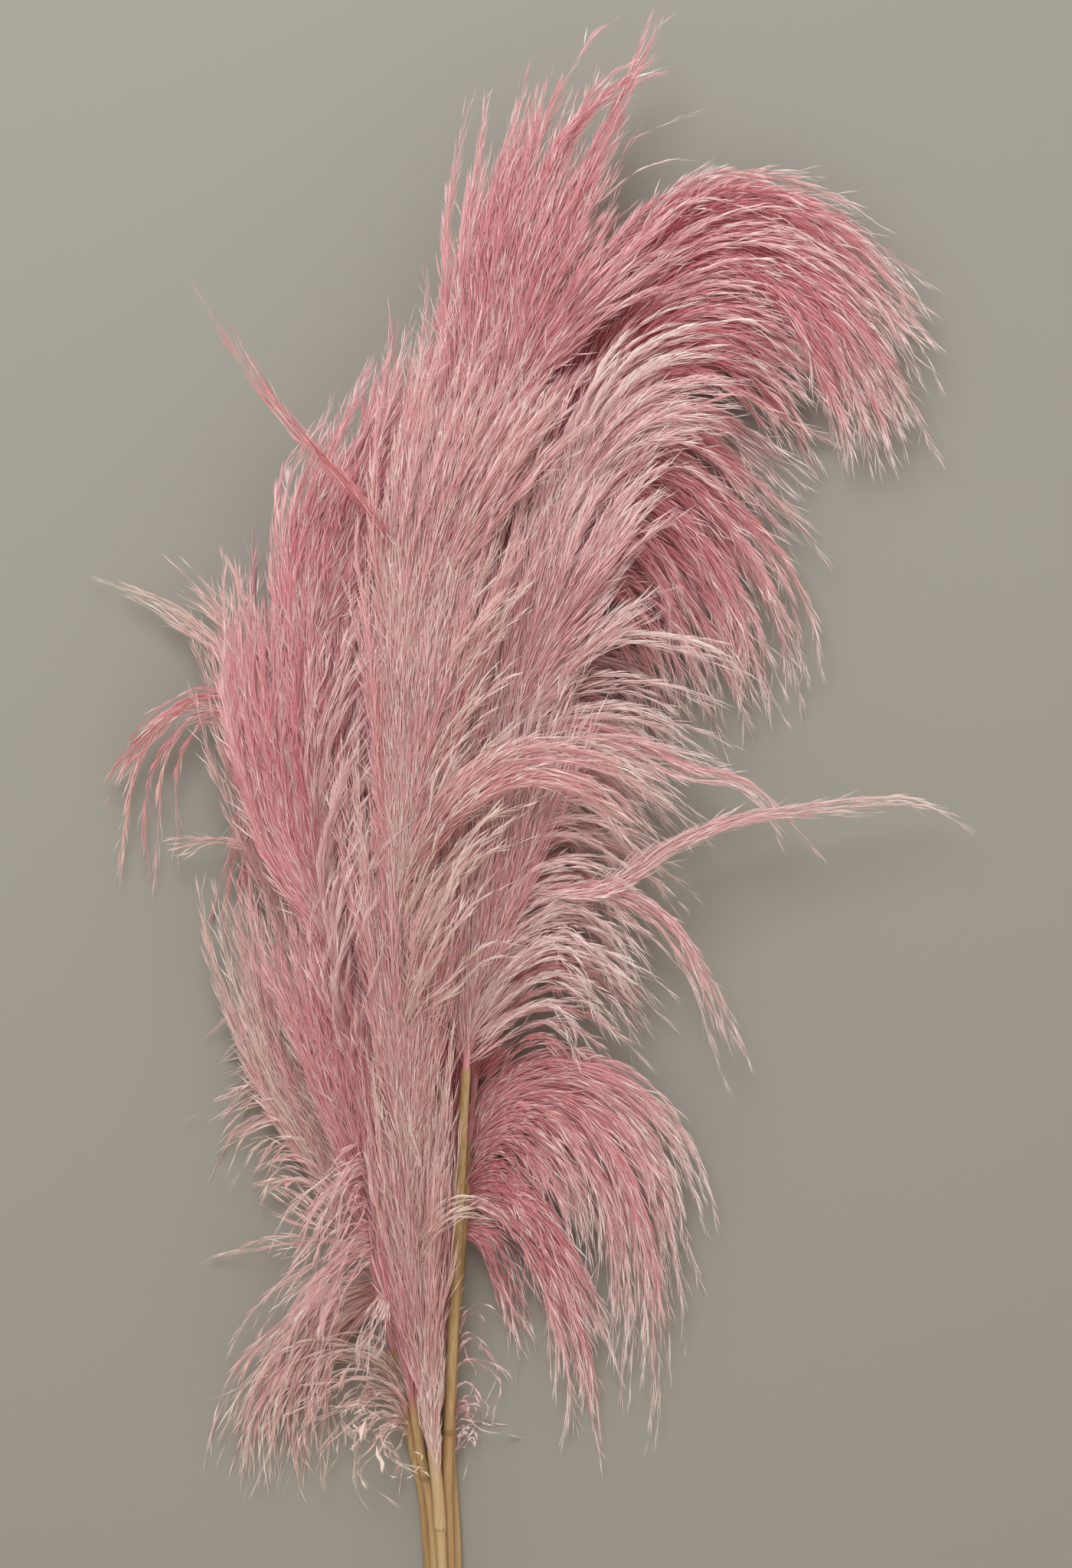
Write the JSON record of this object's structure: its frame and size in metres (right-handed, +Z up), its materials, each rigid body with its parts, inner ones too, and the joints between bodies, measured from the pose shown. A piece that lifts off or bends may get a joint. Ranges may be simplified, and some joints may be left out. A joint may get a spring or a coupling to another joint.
{
  "type": "bundle of pampas grass",
  "caption": "Loose bunch of dyed, dried pampas grass with feathery drooping plumes on straw culms, lying on its side for display.",
  "frame": {"origin": "centre of the bounding box at the surface that the bunch lies on", "axes": "+Y from the cut ends towards the tips, +Z up from the surface, +X to the side that the arching plume leans to"},
  "size_m": [0.468, 1.0181, 0.1057],
  "materials": {
    "straw": "dry satin straw with faint lengthwise streaks",
    "pink_plume": "soft dyed silky hairs",
    "cream_plume": "pale, faintly dyed silky hairs"
  },
  "bodies": {
    "root": {"culm_centre": "straw", "plume_centre": "cream_plume", "culm_right": "straw", "plume_right": "pink_plume", "culm_left": "straw", "plume_left": "pink_plume", "culm_top": "straw", "plume_top": "pink_plume", "culm_arch": "straw", "plume_arch": "pink_plume", "culm_outer": "straw", "plume_outer": "cream_plume"}
  },
  "joints": []
}
